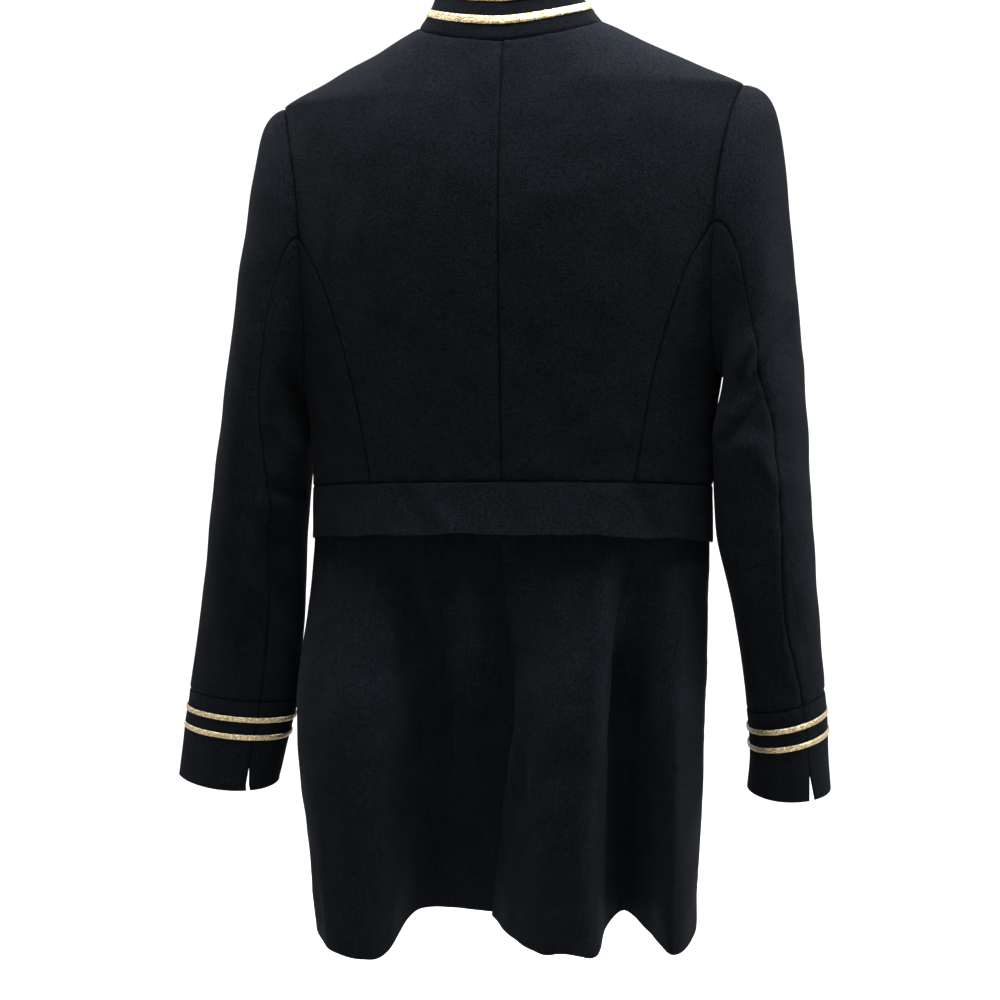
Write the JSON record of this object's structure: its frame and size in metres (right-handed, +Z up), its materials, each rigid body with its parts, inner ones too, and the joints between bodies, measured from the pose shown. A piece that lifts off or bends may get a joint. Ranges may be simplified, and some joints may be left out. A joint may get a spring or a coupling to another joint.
{
  "type": "frock coat on a hanger",
  "caption": "Dark wool frock coat hanging from a shoulder hanger: stand collar and cuffs with metallic braid, waist flap, back vent and full skirt.",
  "frame": {"origin": "the inside top of the hanger's hook, where a rail holds it", "axes": "+Z up, -Y out of the coat's back, +X towards the wearer's right"},
  "size_m": [0.6035, 0.2298, 0.9012],
  "materials": {
    "back_left": "black-blue wool broadcloth",
    "back_right": "black-blue wool broadcloth",
    "side_back_left": "black-blue wool broadcloth",
    "side_back_right": "black-blue wool broadcloth",
    "front_left": "black-blue wool broadcloth",
    "front_right": "black-blue wool broadcloth",
    "collar": "stiffened black-blue wool broadcloth",
    "collar_braid_1": "woven gold metallic braid",
    "collar_braid_2": "woven gold metallic braid",
    "top_sleeve_left": "black-blue wool broadcloth",
    "top_sleeve_right": "black-blue wool broadcloth",
    "under_sleeve_left": "black-blue wool broadcloth",
    "under_sleeve_right": "black-blue wool broadcloth",
    "cuff_left": "black-blue wool broadcloth",
    "cuff_right": "black-blue wool broadcloth",
    "cuff_braid_left_1": "woven gold metallic braid",
    "cuff_braid_left_2": "woven gold metallic braid",
    "cuff_braid_right_1": "woven gold metallic braid",
    "cuff_braid_right_2": "woven gold metallic braid",
    "waist_flap_back": "black-blue wool broadcloth",
    "waist_flap_front_left": "black-blue wool broadcloth",
    "waist_flap_front_right": "black-blue wool broadcloth",
    "skirt_back_left": "black-blue wool broadcloth",
    "skirt_back_right": "black-blue wool broadcloth",
    "skirt_front_left": "black-blue wool broadcloth",
    "skirt_front_right": "black-blue wool broadcloth",
    "hanger_bar": "varnished wood",
    "hanger_hook": "bent steel wire"
  },
  "bodies": {
    "root": {"back_left": "back_left", "back_right": "back_right", "side_back_left": "side_back_left", "side_back_right": "side_back_right", "front_left": "front_left", "front_right": "front_right", "collar": "collar", "collar_braid_1": "collar_braid_1", "collar_braid_2": "collar_braid_2", "top_sleeve_left": "top_sleeve_left", "top_sleeve_right": "top_sleeve_right", "under_sleeve_left": "under_sleeve_left", "under_sleeve_right": "under_sleeve_right", "cuff_left": "cuff_left", "cuff_right": "cuff_right", "cuff_braid_left_1": "cuff_braid_left_1", "cuff_braid_left_2": "cuff_braid_left_2", "cuff_braid_right_1": "cuff_braid_right_1", "cuff_braid_right_2": "cuff_braid_right_2", "waist_flap_back": "waist_flap_back", "waist_flap_front_left": "waist_flap_front_left", "waist_flap_front_right": "waist_flap_front_right", "skirt_back_left": "skirt_back_left", "skirt_back_right": "skirt_back_right", "skirt_front_left": "skirt_front_left", "skirt_front_right": "skirt_front_right", "hanger_bar": "hanger_bar", "hanger_hook": "hanger_hook"}
  },
  "joints": []
}
